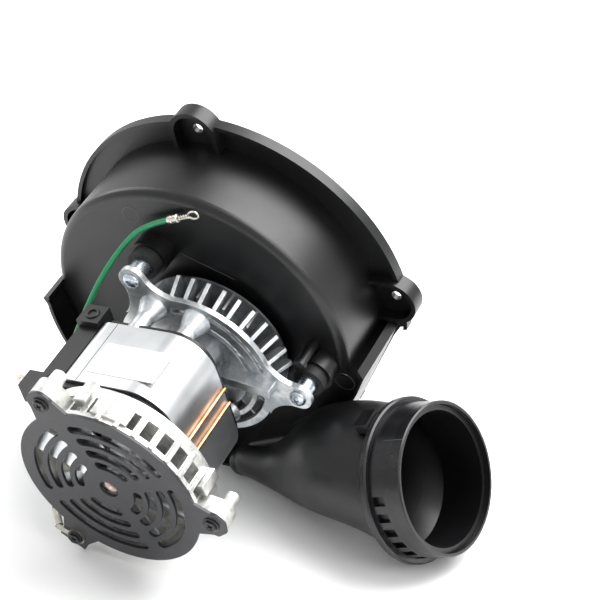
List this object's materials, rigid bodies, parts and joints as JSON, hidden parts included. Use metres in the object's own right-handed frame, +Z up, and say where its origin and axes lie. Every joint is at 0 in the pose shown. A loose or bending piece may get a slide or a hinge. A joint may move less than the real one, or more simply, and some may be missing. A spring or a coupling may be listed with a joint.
{
  "type": "draft inducer blower",
  "caption": "Shaft-driven flue blower: a round plastic scroll housing with a flanged back and horn outlet, and an open-frame motor with cooling fins and an end guard.",
  "frame": {"origin": "middle of the footprint on the surface that the blower rests on, lead left out", "axes": "+Z up as it rests on its outlet collar, horn nose and guard tab; +X the level heading of the outlet"},
  "size_m": [0.2644, 0.2006, 0.207],
  "materials": {
    "housing_plastic": "moulded filled polypropylene, satin black",
    "collar_plastic": "moulded plastic, satin black",
    "wheel_steel": "aluminised sheet steel",
    "galvanised_steel": "galvanised sheet steel",
    "zinc_steel": "bright zinc plate",
    "ground_steel": "ground",
    "seal_rubber": "moulded, matt black",
    "cage_aluminium": "die-cast",
    "fan_aluminium": "stamped and bent",
    "bearing_bronze": "sintered",
    "cast_aluminium": "die-cast, tumbled",
    "lamination_steel": "stacked sheets, oiled",
    "wrap_steel": "satin plated sheet",
    "label_film": "blank metallised film",
    "coil_tape": "wound tape, black",
    "copper_wire": "bright copper",
    "strip_plastic": "moulded, black",
    "tinned_brass": "tin plated",
    "guard_steel": "satin black paint",
    "black_screw": "black oxide",
    "lead_insulation": "extruded PVC, green"
  },
  "bodies": {
    "blower": {"bearings": "bearing_bronze", "end_guard": "guard_steel", "frame_bolts": "zinc_steel", "front_bracket": "cast_aluminium", "grommets": "seal_rubber", "ground_lead": "lead_insulation", "guard_screws": "black_screw", "horn_shell": "housing_plastic", "housing": "housing_plastic", "housing_face": "housing_plastic", "inlet_plate": "galvanised_steel", "lead_terminal": "tinned_brass", "mount_screws": "zinc_steel", "outlet_collar": "collar_plastic", "outlet_pipe": "housing_plastic", "plate_screws": "zinc_steel", "rear_bracket": "cast_aluminium", "ring_terminal": "tinned_brass", "shading_rods": "copper_wire", "shaft_seal": "seal_rubber", "spacer_sleeves": "zinc_steel", "spade_terminals": "tinned_brass", "stator_coils": "coil_tape", "stator_core": "lamination_steel", "stator_insulators": "strip_plastic", "stator_label": "label_film", "stator_wrap": "wrap_steel", "terminal_strip": "strip_plastic"},
    "rotor": {"motor_shaft": "ground_steel", "rotor_core": "cage_aluminium", "impeller_disc": "wheel_steel", "impeller_blades": "wheel_steel", "impeller_ring": "wheel_steel", "front_fan": "fan_aluminium", "rear_fan": "fan_aluminium", "thrust_washers": "ground_steel"}
  },
  "joints": [
    {"name": "rotor_spin", "type": "hinge", "parent": "blower", "child": "rotor", "pos_m": [-0.02053, 0.06949, 0.10357], "axis": [0.1307, -0.9373, -0.323], "continuous": true}
  ]
}
